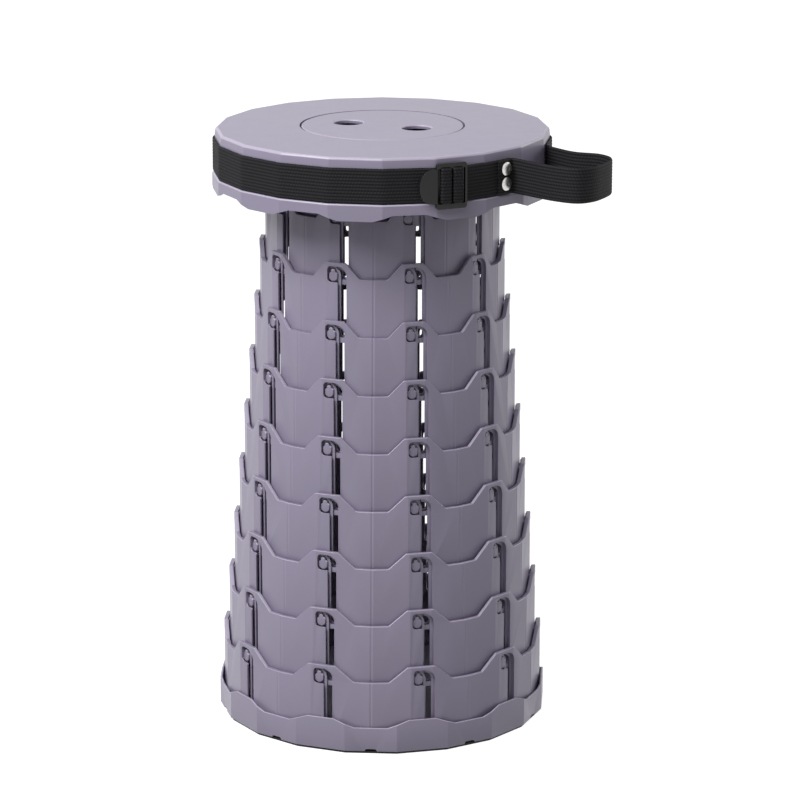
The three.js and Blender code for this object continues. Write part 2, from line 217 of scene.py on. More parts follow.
# Base cup
# A shallow cup in the same lilac-grey polypropylene as the rings. Its rim rises and
# falls under the ring crowns, and small arches are moulded into its foot.


def moulded_plastic(name, red, green, blue):
    """Satin polypropylene: a faint cloudiness, fine moulding grain and uneven gloss, and a painted
    highlight: faces marked by the edge attribute are coloured paler, as where light from above
    catches the rounded edges.
    """
    material, shader, make = new_material(name)
    place = object_coordinates(make)
    cloud = make.node("ShaderNodeTexNoise", Vector=place, Scale=9, Detail=4, Roughness=0.6)
    grain = make.node("ShaderNodeTexNoise", Vector=place, Scale=1500, Detail=2)
    scuff = make.node("ShaderNodeTexNoise", Vector=place, Scale=60, Detail=5, Roughness=0.7)
    darker = linear(red - 4, green - 4, blue - 4)
    lighter = linear(red + 4, green + 4, blue + 5)
    tone = blend(make, cloud, darker, lighter)
    # Painted highlight: faces that slope upward are blended halfway towards a much paler colour.
    painted_highlight = make.node("ShaderNodeAttribute", {"attribute_name": "edge"}, output=2) * 0.5
    tone_with_painted_highlight = blend(make, painted_highlight, tone, linear(red + 58, green + 58, blue + 55))
    bump = make.node("ShaderNodeBump", Height=grain, Strength=0.12, Distance=0.0001)
    connect(shader, Base_Color=tone_with_painted_highlight, Roughness=0.28 + 0.08 * cloud + 0.08 * scuff, Normal=bump)
    return material


def paint_edge_highlights(piece):
    """Marks the faces that slope upward, mostly rounded edges, for a painted highlight: they are
    coloured paler, as where light from above falls on them.
    """
    edge = piece.data.attributes.new("edge", "FLOAT", "FACE")
    for face in piece.data.polygons:
        edge.data[face.index].value = 1.0 if 0.25 < face.normal.z < 0.97 else 0.0


def rounded(corners, steps=4):
    """Points of an outline whose corners, given as (across, up, radius), are arcs."""
    points = []
    for index, (across, up, radius) in enumerate(corners):
        corner = Vector((across, up))
        if radius == 0:
            points.append(corner)
            continue
        to_before = (Vector(corners[index - 1][:2]) - corner).normalized()
        to_after = (Vector(corners[(index + 1) % len(corners)][:2]) - corner).normalized()
        half = to_before.angle(to_after) / 2
        centre = corner + (to_before + to_after).normalized() * radius / math.sin(half)
        first = corner + to_before * radius / math.tan(half)
        last = corner + to_after * radius / math.tan(half)
        for step in range(steps + 1):
            chord = first.lerp(last, step / steps) - centre
            points.append(centre + chord.normalized() * radius)
    return points


def azimuth_of(point):
    """Degrees from the front towards +X."""
    return math.degrees(math.atan2(point.x, -point.y))


def outward(azimuth):
    return Vector((math.sin(math.radians(azimuth)), -math.cos(math.radians(azimuth)), 0))


def extruded(name, corners, move):
    """A flat outline made solid along a move."""
    mesh = bpy.data.meshes.new(name)
    mesh.from_pydata(corners, [], [range(len(corners))])
    piece = bpy.data.objects.new(name, mesh)
    bpy.context.scene.collection.objects.link(piece)
    pick(piece)
    bpy.ops.object.mode_set(mode="EDIT")
    bpy.ops.mesh.select_all(action="SELECT")
    bpy.ops.mesh.extrude_region_move(TRANSFORM_OT_translate={"value": move})
    bpy.ops.mesh.select_all(action="SELECT")
    bpy.ops.mesh.normals_make_consistent(inside=False)
    bpy.ops.object.mode_set(mode="OBJECT")
    return piece


def radial_block(points, azimuth, near, far):
    """An upright outline (across, up) made solid from near to far at an azimuth."""
    out = outward(azimuth)
    along = outward(azimuth + 90)
    corners = [along * p.x + out * near + Vector((0, 0, p.y)) for p in points]
    return extruded("block", corners, out * (far - near))


def around(azimuth):
    """The ten azimuths of a form that comes back in every period of the walls."""
    return [azimuth + PERIOD * n for n in range(10)]


def join(pieces):
    deselect()
    for piece in pieces:
        piece.select_set(True)
    bpy.context.view_layer.objects.active = pieces[0]
    if len(pieces) > 1:
        bpy.ops.object.join()
    return pieces[0]


def carve(piece, cutters):
    """Cuts the cutters out of a piece, and removes them."""
    cutter = join(cutters)
    pick(piece)
    cutting = piece.modifiers.new("cutting", "BOOLEAN")
    cutting.operation = "DIFFERENCE"
    cutting.solver = "MANIFOLD"
    cutting.object = cutter
    bpy.ops.object.modifier_apply(modifier="cutting")
    bpy.data.objects.remove(cutter)


def wave_cutters(radius, centre, narrow, wide, narrow_z, wide_z, depth, corner):
    """Notches of a wavy edge, ten round the wall, given by half angles."""
    near = radius * math.cos(math.radians(wide)) - depth
    inner = radius * math.sin(math.radians(narrow))
    outer = radius * math.sin(math.radians(wide))
    beyond = wide_z + math.copysign(CLEAR, wide_z - narrow_z)
    level = wide_z + math.copysign(0.05 * MM, wide_z - narrow_z)
    outline = rounded(
        [
            (-inner, narrow_z, corner),
            (inner, narrow_z, corner),
            (outer, wide_z, corner),
            (outer + 3 * MM, level, 0),
            (outer + 3 * MM, beyond, 0),
            (-outer - 3 * MM, beyond, 0),
            (-outer - 3 * MM, level, 0),
            (-outer, wide_z, corner),
        ]
    )
    return [radial_block(outline, azimuth, near, radius + CLEAR) for azimuth in around(centre)]


def keep_corners(piece, period, start, places):
    """Keeps the upright corners between a wall's facets crisp."""
    points = piece.data.vertices
    for edge in piece.data.edges:
        first, second = (points[index].co for index in edge.vertices)
        azimuth = azimuth_of(first)
        if abs(azimuth - azimuth_of(second)) > 0.1:
            continue
        beside = (azimuth - start) % period
        if any(abs(beside - place) < 0.9 for place in places):
            edge.use_edge_sharp = True


PERIOD = 36
CREASE = -4
CROWN = 14
CLEAR = 5 * MM
HALF_SIDE = math.radians(9)
base_low, base_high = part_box("base_cup")
plastic = moulded_plastic("ring_plastic", 134, 127, 147)
cup_corner = base_high.x / math.cos(math.radians(SIDE_TURN))
cup_face = cup_corner * math.cos(HALF_SIDE)
cup_wall = 1.5 * MM
cup_floor = base_low.z + 4.5 * MM
cup_inner = (cup_face - cup_wall) / math.cos(HALF_SIDE)
cup_profile = [
    (cup_corner, base_low.z),
    (cup_corner, base_high.z),
    (cup_inner, base_high.z),
    (cup_inner, cup_floor),
]
base_cup = turned("base_cup_shell", cup_profile, SIDES, SIDE_TURN)
trough = base_high.z - 5.8 * MM
carve(base_cup, wave_cutters(cup_corner, CREASE, 5.8, 13.1, trough, base_high.z, 6 * MM, 2 * MM))
ARCH_HALF = 4.5 * MM
ARCH_RADIUS = 1.6 * MM
arch_top = base_low.z + 1.7 * MM
foot_arch = rounded(
    [
        (-ARCH_HALF, base_low.z - 2 * MM, 0),
        (ARCH_HALF, base_low.z - 2 * MM, 0),
        (ARCH_HALF, arch_top, ARCH_RADIUS),
        (-ARCH_HALF, arch_top, ARCH_RADIUS),
    ]
)
near, far = cup_face - 4 * MM, cup_corner + CLEAR
carve(base_cup, [radial_block(foot_arch, azimuth, near, far) for azimuth in around(CREASE)])
bevel(base_cup, 0.5 * MM, 3)
smooth(base_cup)
keep_corners(base_cup, 18, SIDE_TURN, (0, 18))
paint_edge_highlights(base_cup)
finish_piece(base_cup, plastic, "base", "plastic", "base_cup")


# Rings
# Nine polypropylene wall sections, each a little narrower than the one below. Every
# crown has a J-shaped lock slot, and on all but the lowest ring a pin at its foot,
# which sits in the pocket of the slot outside it.


def upright_prism(name, points, bottom, top):
    """A plan outline made solid from bottom to top."""
    corners = [Vector((p.x, p.y, bottom)) for p in points]
    return extruded(name, corners, Vector((0, 0, top - bottom)))


def wall_outline(radius, groove=0):
    """Ten periods of three facets, 14, 8 and 14 degrees wide, with creases that can be grooved."""
    points = []
    for crease in around(CREASE):
        corner = outward(crease) * radius
        if groove:
            before = outward(crease - 14) * radius - corner
            after = outward(crease + 14) * radius - corner
            points.append(corner + before.normalized() * groove)
            points.append(corner - outward(crease) * groove * GROOVE_SHARE)
            points.append(corner + after.normalized() * groove)
        else:
            points.append(corner)
        points += [outward(crease + 14) * radius, outward(crease + 22) * radius]
    return points


def ring_wall(name, radius, bottom, top):
    wall = upright_prism(name, wall_outline(radius, GROOVE), bottom, top)
    bore = wall_outline(radius - RING_WALL)
    carve(wall, [upright_prism("bore", bore, bottom - CLEAR, top + CLEAR)])
    return wall


def slot_outline(bottom):
    """The lock slot: a straight run, and a pocket at its upper left under the arch."""
    corners = [
        (SLOT_LEFT, SLOT_FOOT, 3),
        (SLOT_RIGHT, SLOT_FOOT, 3),
        (SLOT_RIGHT, SLOT_TOP, 8.6),
        (POCKET_LEFT, SLOT_TOP, 2.8),
        (POCKET_LEFT, POCKET_FOOT, 2.8),
        (SLOT_LEFT, POCKET_FOOT, 1.2),
    ]
    return [p * MM + Vector((0, bottom)) for p in rounded(corners, 6)]


def ledges(flat, bottom):
    """Ten rails behind the slots, that keep the pin heads in, each with its latch tongue."""
    corners = [
        (1.5, 2.4, 0),
        (12.2, 2.4, 0),
        (12.2, 53.5, 2.5),
        (8.8, 58.2, 2.5),
        (3, 58.2, 0),
        (3, 54.2, 0),
        (7.8, 54.2, 5),
        (7.8, 4.7, 2.1),
        (3.5, 4.7, 2.1),
        (3.5, 52, 6),
        (-1.6, 56.8, 3),
        (-4.6, 57.2, 0),
        (-4.4, 56.2, 0),
        (-1.8, 55.6, 2),
        (1.5, 51.6, 5),
    ]
    outline = [p * MM + Vector((0, bottom)) for p in rounded(corners, 6)]
    near, far = flat - LEDGE_BACK, flat - LEDGE_FRONT
    group = join([radial_block(outline, azimuth, near, far) for azimuth in around(CROWN)])
    bevel(group, 0.25 * MM, 2, 60)
    return group


def pins(flat, bottom):
    """Ten lock pins on a wall's crown facets: a round head with a short neck above."""
    corners = [
        (-5.65, 2.3, 3.4),
        (1.25, 2.3, 3.4),
        (1.25, 8.4, 1),
        (-0.4, 9.2, 0.6),
        (-0.9, 11.4, 1.5),
        (-4.1, 11.4, 1.5),
        (-4.1, 9, 0.6),
        (-5.65, 8, 1),
    ]
    outline = [p * MM + Vector((0, bottom)) for p in rounded(corners, 6)]
    near, far = flat - PIN_ROOT, flat + PIN_LENGTH
    group = join([radial_block(outline, azimuth, near, far) for azimuth in around(CROWN)])
    bevel(group, 0.7 * MM, 3, 60)
    return group


def round_edges(piece, chosen, width, segments, sharpness, clamp=True):
    """Rounds the sharp edges whose two ends are both chosen."""
    pick(piece)
    bpy.ops.object.mode_set(mode="EDIT")
    bpy.ops.mesh.select_mode(type="EDGE")
    bpy.ops.mesh.select_all(action="SELECT")
    bpy.ops.mesh.remove_doubles(threshold=0.03 * MM)
    bpy.ops.mesh.select_all(action="DESELECT")
    bpy.ops.mesh.edges_select_sharp(sharpness=math.radians(sharpness))
    bpy.ops.object.mode_set(mode="OBJECT")
    points = piece.data.vertices
    for edge in piece.data.edges:
        if edge.select and not all(chosen(points[index].co) for index in edge.vertices):
            edge.select = False
    bpy.ops.object.mode_set(mode="EDIT")
    bpy.ops.mesh.bevel(offset=width, segments=segments, affect="EDGES", clamp_overlap=clamp)
    bpy.ops.mesh.select_mode(type="VERT")
    bpy.ops.object.mode_set(mode="OBJECT")


def on_slot_rim(point, radius, bottom):
    """Whether a point lies on the outer face of a wall, at the rim of a slot."""
    crown = CROWN + PERIOD * round((azimuth_of(point) - CROWN) / PERIOD)
    across = point.dot(outward(crown + 90))
    past_crown = max(0, abs(across) - radius * math.sin(HALF_CROWN))
    level = radius * math.cos(HALF_CROWN) - past_crown * math.tan(FACET_TURN)
    up = point.z - bottom
    beside = POCKET_LEFT - 0.2 < across / MM < SLOT_RIGHT + 0.2
    return beside and 3 * MM < up < 57 * MM and point.dot(outward(crown)) > level - 0.1 * MM


INNERMOST_RADIUS = 88
RING_STEP = 4.2
HALF_CROWN = math.radians(4)
FACET_TURN = math.radians(11)
GROOVE = 1.2 * MM
GROOVE_SHARE = 0.36
SLOT_LEFT = 2
SLOT_RIGHT = 10.4
SLOT_FOOT = 3.6
SLOT_TOP = 56.7
POCKET_LEFT = -6.15
POCKET_FOOT = 44.7
PIN_ROOT = 0.6 * MM
PIN_LENGTH = 2.7 * MM
RING_HEIGHT = 59.3 * MM
RING_WALL = 3 * MM
PIN_GUIDE_DEPTH = 1.2 * MM
GUIDE_LEFT = -5.9 * MM
GUIDE_RIGHT = 3.3 * MM
GUIDE_TOP = 53 * MM
LEDGE_FRONT = 2.9 * MM
LEDGE_BACK = 3.9 * MM
FACET_CORNERS = (0, 14, 22, 36)

for number in range(9, 0, -1):
    low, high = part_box(f"ring_{number}")
    radius = (INNERMOST_RADIUS + RING_STEP * (number - 1)) * MM
    flat = radius * math.cos(HALF_CROWN)
    bottom, top = low.z, low.z + RING_HEIGHT
    ring = ring_wall(f"ring_{number}_wall", radius, bottom, top)
    carve(ring, wave_cutters(radius, CREASE, 6.3, 12.9, top - 11.7 * MM, top, 6 * MM, 2.2 * MM))
    bevel(ring, 1 * MM, 3, 60)
    guide = [
        Vector((GUIDE_LEFT, bottom - MM)),
        Vector((GUIDE_RIGHT, bottom - MM)),
        Vector((GUIDE_RIGHT, bottom + GUIDE_TOP)),
        Vector((GUIDE_LEFT, bottom + GUIDE_TOP)),
    ]
    near, far = flat - 2 * RING_WALL, flat - PIN_GUIDE_DEPTH
    carve(ring, [radial_block(guide, azimuth, near, far) for azimuth in around(CROWN)])
    slot = slot_outline(bottom)
    near, far = flat - 2.5 * RING_WALL, radius + 6.3 * MM
    carve(ring, [radial_block(slot, azimuth, near, far) for azimuth in around(CROWN)])
    round_edges(ring, lambda point: on_slot_rim(point, radius, bottom), 0.7 * MM, 3, 60)
    extras = [ledges(flat, bottom)]
    if number < 9:
        extras.append(pins(flat, bottom))
    ring = join([ring, *extras])
    smooth(ring)
    keep_corners(ring, PERIOD, CREASE, FACET_CORNERS)
    paint_edge_highlights(ring)
    body = "base" if number == 9 else f"section_{number}"
    finish_piece(ring, plastic, body, "plastic", f"ring_{number}")


# Seat tube
# The innermost wall section, moulded like the rings but plain at its top, where it
# is fixed under the seat plate. Its ten pins hold it in ring_1.

tube_low, tube_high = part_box("seat_tube")
tube_radius = 83.8 * MM
tube = ring_wall("seat_tube_wall", tube_radius, tube_low.z, tube_high.z)
bevel(tube, 0.9 * MM, 3, 60)
tube = join([tube, pins(tube_radius * math.cos(HALF_CROWN), tube_low.z)])
smooth(tube)
keep_corners(tube, PERIOD, CREASE, FACET_CORNERS)
paint_edge_highlights(tube)
finish_piece(tube, plastic, "seat", "plastic", "seat_tube")


# Seat cap
# The plate that is sat on, with its deep skirt: a rounded rim, a strap groove, a
# flange below it and a scalloped edge that meets the base when the stool is folded.


def weigh_normals(piece):
    """Lets the large flat faces set the shading at their rounded edges."""
    pick(piece)
    weighing = piece.modifiers.new("weighing", "WEIGHTED_NORMAL")
    weighing.keep_sharp = True
    bpy.ops.object.modifier_apply(modifier="weighing")


cap_low, cap_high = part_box("seat_cap")
skirt_inner = 123.63 * MM
groove_corner = 124.94 * MM
flange_corner = 127 * MM
plate_bottom = cap_high.z - 3.4 * MM
plate_bore = 55.8 * MM
disc_radius = 60.1 * MM
flange_top = cap_high.z - 33.5 * MM
FLANGE_CHAMFER = 0.9 * MM
CROWNING = 1.2 * MM
cap_profile = [
    (skirt_inner - 1.5 * MM, plate_bottom),
    (skirt_inner, plate_bottom - 1.5 * MM),
    (skirt_inner, cap_low.z),
    (flange_corner, cap_low.z),
    (flange_corner, flange_top - FLANGE_CHAMFER),
    (flange_corner - FLANGE_CHAMFER, flange_top),
    (groove_corner, flange_top),
    (groove_corner, cap_high.z - 7 * MM),
    (groove_corner - 0.5 * MM, cap_high.z - 1.8 * MM),
    (groove_corner - 1.1 * MM, cap_high.z - 0.6 * MM),
    (groove_corner - 2.3 * MM, cap_high.z),
    (disc_radius + 3 * MM, cap_high.z + CROWNING),
]
cap = turned("seat_cap_shell", cap_profile, SIDES, 0)


def on_cap_corner(point):
    beside = (azimuth_of(point) + 9) % 18 - 9
    return abs(beside) < 0.2 and point.xy.length > skirt_inner + 0.3 * MM


round_edges(cap, on_cap_corner, 0.8 * MM, 2, 15)
ledge = plate_bottom + 1.4 * MM
scallop = cap_low.z + 4.8 * MM
carve(cap, wave_cutters(flange_corner, 9, 5.5, 12.5, scallop, cap_low.z, 7 * MM, 2.5 * MM))
DISC_SEAM = 1.5 * MM
ROUND_SIDES = 128
recess_radius = disc_radius + DISC_SEAM
recess_profile = [(recess_radius, ledge), (recess_radius, cap_high.z + CLEAR)]
carve(cap, [turned("recess", recess_profile, ROUND_SIDES, 0)])
bore_profile = [(plate_bore, plate_bottom - CLEAR), (plate_bore, ledge + MM)]
carve(cap, [turned("bore", bore_profile, 64, 0)])
bevel(cap, 0.5 * MM, 3, 25)
RIB_HALF = MM
RIB_REACH = 79.5 * MM
rib_bottom, rib_top = plate_bottom - 9 * MM, plate_bottom + 0.5 * MM
rib_outline = [
    Vector((-RIB_HALF, rib_bottom)),
    Vector((RIB_HALF, rib_bottom)),
    Vector((RIB_HALF, rib_top)),
    Vector((-RIB_HALF, rib_top)),
]
near = plate_bore + 0.5 * MM
ribs = [radial_block(rib_outline, azimuth, near, RIB_REACH) for azimuth in around(CROWN)]
cap = join([cap, *ribs])
smooth(cap, 35)
keep_corners(cap, 18, 0, (0, 18))
weigh_normals(cap)
paint_edge_highlights(cap)
finish_piece(cap, plastic, "seat", "plastic", "seat_cap")


# Seat disc
# A separate round moulding snapped into the plate's middle. Two fingers go through
# its holes to pull the seat up, so the holes have soft rims.

disc_low, disc_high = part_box("seat_disc")
disc_top = disc_high.z + CROWNING
disc_profile = [
    (disc_radius, disc_low.z),
    (disc_radius, disc_top - 0.5 * MM),
    (disc_radius - 0.5 * MM, disc_top),
]
disc = turned("seat_disc_plate", disc_profile, ROUND_SIDES, 0)
HOLE_AZIMUTHS = (66.5, 246.5)
HOLE_PLACE = 27.6 * MM
HOLE_RADIUS = 11 * MM
hole_profile = [(HOLE_RADIUS, disc_low.z - CLEAR), (HOLE_RADIUS, disc_top + CLEAR)]
for azimuth in HOLE_AZIMUTHS:
    hole = turned("hole", hole_profile, 64, 0)
    hole.data.transform(Matrix.Translation(outward(azimuth) * HOLE_PLACE))
    carve(disc, [hole])


def on_hole_lip(point):
    middles = [outward(azimuth) * HOLE_PLACE for azimuth in HOLE_AZIMUTHS]
    beside = min((point - middle).xy.length for middle in middles)
    return beside < HOLE_RADIUS + 0.5 * MM and point.z > disc_low.z + MM


round_edges(disc, on_hole_lip, 1.4 * MM, 5, 40, clamp=False)
bevel(disc, 0.5 * MM, 3, 40)
smooth(disc, 40)
weigh_normals(disc)
paint_edge_highlights(disc)
finish_piece(disc, plastic, "seat", "plastic", "seat_disc")


# Webbing
# Black webbing about 25 mm wide, with a ribbed weave. One length runs from the buckle
# round the groove and out into the carry loop, and a short one joins buckle and rivets.


def woven_webbing():
    """Black yarn in ribs along the tape, each rib a row of knitted chevrons, with painted sheen and
    shade: the raised stitches are coloured paler and each rib darker towards its sides.
    """
    material, shader, make = new_material("strap_webbing")
    yarn = make.node("ShaderNodeUVMap", {"uv_map": "tape"})
    fluff = make.node("ShaderNodeTexNoise", Vector=yarn, Scale=1400, Detail=3)
    wander = make.node("ShaderNodeTexNoise", Vector=yarn, Scale=160, Detail=2)
    along = make.node("ShaderNodeSeparateXYZ", Vector=yarn)
    row = make.node("ShaderNodeSeparateXYZ", output=1, Vector=yarn) * (TAPE_RIBS / TAPE_WIDTH)
    number = make.node("ShaderNodeMath", {"operation": "FLOOR"}, i0=row)
    beside = make.node("ShaderNodeMath", {"operation": "ABSOLUTE"}, i0=row - number - 0.5)
    turn = along * (math.tau / STITCH_LENGTH) + beside * 5 + number * 2.1 + wander * 4
    stitch = make.node("ShaderNodeMath", {"operation": "SINE"}, i0=turn) * 0.5 + 0.5
    # Painted sheen and shade: the stitch relief also lightens the colour, and each rib is darkened
    # towards its sides, where the grooves between ribs lie.
    relief_with_painted_sheen_and_shade = (stitch * 0.6 + 0.4) * (1.1 - beside * 2.2) * 0.8 + fluff * 0.2
    tone = blend(make, relief_with_painted_sheen_and_shade, linear(3, 3, 4), linear(47, 46, 49))
    bump = make.node("ShaderNodeBump", Height=relief_with_painted_sheen_and_shade, Strength=0.7, Distance=0.0004)
    connect(shader, Base_Color=tone, Roughness=0.75, Specular_IOR_Level=0.15, Normal=bump)
    return material


def tape_section(ribs, steps):
    """Points (out, up) round a tape's section: ribbed in front and behind."""
    half = TAPE_THICKNESS / 2
    front = []
    for step in range(ribs * steps + 1):
        share = step / (ribs * steps)
        crown = abs(math.sin(math.pi * share * ribs)) ** 0.6
        edge = min(1, min(share, 1 - share) * 18) ** 0.5
        front.append((half * edge * (0.72 + 0.28 * crown), share * TAPE_WIDTH))
    back = [(-out, up) for out, up in reversed(front[1:-1])]
    return front + back


def tape(name, line, section):
    """Webbing that follows plan points, with its section standing upright."""
    count, sides = len(line), len(section)
    corners, uvs, travelled = [], [], 0
    for index, point in enumerate(line):
        before, after = line[max(index - 1, 0)], line[min(index + 1, count - 1)]
        along = (after - before).normalized()
        across = Vector((along.y, -along.x))
        if index:
            travelled += (point - line[index - 1]).length
        for out, up in section:
            place = point + across * out
            corners.append((place.x, place.y, TAPE_BOTTOM + up))
            uvs.append((travelled, up))
    faces = []
    for index in range(count - 1):
        for step in range(sides):
            following = (step + 1) % sides
            low, high = index * sides, (index + 1) * sides
            faces.append((low + step, high + step, high + following, low + following))
    faces.append(tuple(reversed(range(sides))))
    faces.append(tuple((count - 1) * sides + step for step in range(sides)))
    mesh = bpy.data.meshes.new(name)
    mesh.from_pydata(corners, [], faces)
    layer = mesh.uv_layers.new(name="tape")
    for loop in mesh.loops:
        layer.data[loop.index].uv = uvs[loop.vertex_index]
    piece = bpy.data.objects.new(name, mesh)
    bpy.context.scene.collection.objects.link(piece)
    pick(piece)
    bpy.ops.object.mode_set(mode="EDIT")
    bpy.ops.mesh.select_all(action="SELECT")
    bpy.ops.mesh.normals_make_consistent(inside=False)
    bpy.ops.object.mode_set(mode="OBJECT")
    smooth(piece, 60)
    return piece


def plan(radius, azimuth):
    out = outward(azimuth) * radius
    return Vector((out.x, out.y))


def on_face(flat_distance, azimuth):
    """Plan point over the skirt's flat side at an azimuth."""
    middle = (math.floor(azimuth / 18) + 0.5) * 18
    return plan(flat_distance / math.cos(math.radians(azimuth - middle)), azimuth)


def resampled(points, spacing):
    """The same route with a point every so often, smoothed through its points."""
    dense = []
    for index in range(len(points) - 1):
        before = points[max(index - 1, 0)]
        start, end = points[index], points[index + 1]
        after = points[min(index + 2, len(points) - 1)]
        steps = max(2, int((end - start).length / spacing))
        for step in range(steps):
            t = step / steps
            leaving = (end - before) / 2
            arriving = (after - start) / 2
            dense.append(
                start * (2 * t**3 - 3 * t**2 + 1)
                + leaving * (t**3 - 2 * t**2 + t)
                + end * (3 * t**2 - 2 * t**3)
                + arriving * (t**3 - t**2)
            )
    return dense + [points[-1]]


tape_low, tape_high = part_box("strap_band")
TAPE_BOTTOM = tape_low.z - 0.9 * MM
TAPE_WIDTH = tape_high.z - TAPE_BOTTOM
TAPE_THICKNESS = 1.3 * MM
TAPE_RIBS = 11
STITCH_LENGTH = 2.3 * MM
LAYER_GAP = 0.3 * MM
GROOVE_FACE = 123.4 * MM
INNER_LAYER = GROOVE_FACE + LAYER_GAP + TAPE_THICKNESS / 2
OUTER_LAYER = INNER_LAYER + TAPE_THICKNESS + LAYER_GAP
BUCKLE_AZIMUTH = 23.2
BUCKLE_BACK = flange_corner - 0.03 * MM
BUCKLE_DEPTH = 2.4 * MM
ROOM = LAYER_GAP + TAPE_THICKNESS / 2
webbing = woven_webbing()
ribbed = tape_section(TAPE_RIBS, 4)


def beside_buckle(across, out):
    return plan(out, BUCKLE_AZIMUTH) + plan(1, BUCKLE_AZIMUTH + 90) * across


behind = BUCKLE_BACK - ROOM
over = BUCKLE_BACK + BUCKLE_DEPTH + ROOM
BAR_HALF = 2.6 * MM
BAND_BAR = -5.7 * MM
ANCHOR_BAR = 3.8 * MM
FRAME_LEFT = -13.2 * MM
FRAME_RIGHT = 10.8 * MM
side = BAR_HALF + ROOM
weave = [
    on_face(INNER_LAYER, BUCKLE_AZIMUTH + 2.2),
    on_face(INNER_LAYER, BUCKLE_AZIMUTH),
    beside_buckle(BAND_BAR + side, BUCKLE_BACK),
    beside_buckle(BAND_BAR + side, BUCKLE_BACK + BUCKLE_DEPTH),
    beside_buckle(BAND_BAR + BAR_HALF, over),
    beside_buckle(BAND_BAR - BAR_HALF, over),
    beside_buckle(BAND_BAR - side, BUCKLE_BACK + BUCKLE_DEPTH),
    beside_buckle(BAND_BAR - side, BUCKLE_BACK),
    beside_buckle(BAND_BAR - side - ROOM, behind),
    beside_buckle(FRAME_LEFT, behind),
    on_face(INNER_LAYER, BUCKLE_AZIMUTH - 10),
]
route = resampled(weave, MM)
BAND_START = 12
BAND_END = 76 - 360
BAND_STEP = 1.5
for step in range(math.ceil((BAND_START - BAND_END) / BAND_STEP)):
    route.append(on_face(INNER_LAYER, BAND_START - BAND_STEP * step))
route.append(on_face(INNER_LAYER, BAND_END))
band = tape("strap_band_webbing", route, ribbed)
finish_piece(band, webbing, "seat", "webbing", "strap_band")

LOOP_REACH = 64.5 * MM
LOOP_ROUTE = [
    (48.4, 0.05),
    (47.7, 0.31),
    (47.2, 0.63),
    (48.1, 0.9),
    (50.5, 1),
    (54.9, 1.01),
    (62.4, 0.97),
    (66.4, 0.75),
    (66.6, 0.44),
    (70.5, 0.15),
    (73.2, 0.03),
]
route = [on_face(OUTER_LAYER, azimuth) for azimuth in (41.5, 44.5, 47.4)]
for azimuth, share in LOOP_ROUTE:
    face = on_face(INNER_LAYER, azimuth)
    route.append(face + face.normalized() * share * LOOP_REACH)
route.append(on_face(INNER_LAYER, 75.75))
loop = tape("carry_loop_webbing", resampled(route, 1.5 * MM), ribbed)
finish_piece(loop, webbing, "seat", "webbing", "carry_loop")

bend = [
    beside_buckle(ANCHOR_BAR + BAR_HALF / 2, behind),
    beside_buckle(ANCHOR_BAR - BAR_HALF / 2, behind),
    beside_buckle(ANCHOR_BAR - side, BUCKLE_BACK),
    beside_buckle(ANCHOR_BAR - side, BUCKLE_BACK + BUCKLE_DEPTH),
    beside_buckle(ANCHOR_BAR - BAR_HALF, over),
    beside_buckle(ANCHOR_BAR + BAR_HALF, over),
    beside_buckle(ANCHOR_BAR + side, BUCKLE_BACK + BUCKLE_DEPTH),
    beside_buckle(ANCHOR_BAR + side, BUCKLE_BACK),
    beside_buckle(ANCHOR_BAR + side + ROOM, behind),
    beside_buckle(FRAME_RIGHT, behind),
    on_face(INNER_LAYER, BUCKLE_AZIMUTH + 10.5),
]
route = resampled(bend, MM)
corner = plan(INNER_LAYER / math.cos(HALF_SIDE), 36)
route += [corner, on_face(INNER_LAYER, 42), on_face(INNER_LAYER, 48)]
anchor = tape("strap_anchor_webbing", route, ribbed)
finish_piece(anchor, webbing, "seat", "webbing", "strap_anchor")


# Buckle
# A black ladder-lock moulding. The band turns round its left bar and the anchor round
# its right one, and lifting its round tab tilts the frame and lets the band slip.


def black_moulding():
    material, shader, make = new_material("buckle_moulding")
    place = object_coordinates(make)
    grain = make.node("ShaderNodeTexNoise", Vector=place, Scale=1800, Detail=2)
    wear = make.node("ShaderNodeTexNoise", Vector=place, Scale=120, Detail=4)
    tone = blend(make, wear, linear(12, 12, 13), linear(22, 22, 24))
    bump = make.node("ShaderNodeBump", Height=grain, Strength=0.2, Distance=0.0001)
    gloss = 0.26 + 0.12 * wear
    connect(shader, Base_Color=tone, Roughness=gloss, Specular_IOR_Level=0.35, Normal=bump)
    return material


buckle_low, buckle_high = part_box("buckle_frame")
middle = TAPE_BOTTOM + TAPE_WIDTH / 2 - 0.5 * MM
half_height = (buckle_high.z - buckle_low.z) / 2
TAB_HALF = 12.5 * MM
TAB_RADIUS = 11 * MM
tab_left = FRAME_LEFT - 13.2 * MM
frame_outline = rounded(
    [
        (FRAME_LEFT, middle - half_height, 2 * MM),
        (FRAME_RIGHT, middle - half_height, 2.5 * MM),
        (FRAME_RIGHT, middle + half_height, 2.5 * MM),
        (FRAME_LEFT, middle + half_height, 2 * MM),
        (FRAME_LEFT, middle + TAB_HALF, 0),
        (tab_left, middle + TAB_HALF, TAB_RADIUS),
        (tab_left, middle - TAB_HALF, TAB_RADIUS),
        (FRAME_LEFT, middle - TAB_HALF, 0),
    ],
    8,
)
buckle = radial_block(frame_outline, BUCKLE_AZIMUTH, BUCKLE_BACK, BUCKLE_BACK + BUCKLE_DEPTH)
buckle.name = "buckle_ladder_lock"
WINDOW_HALF = 13 * MM
WINDOW_RADIUS = 0.8 * MM
windows = []
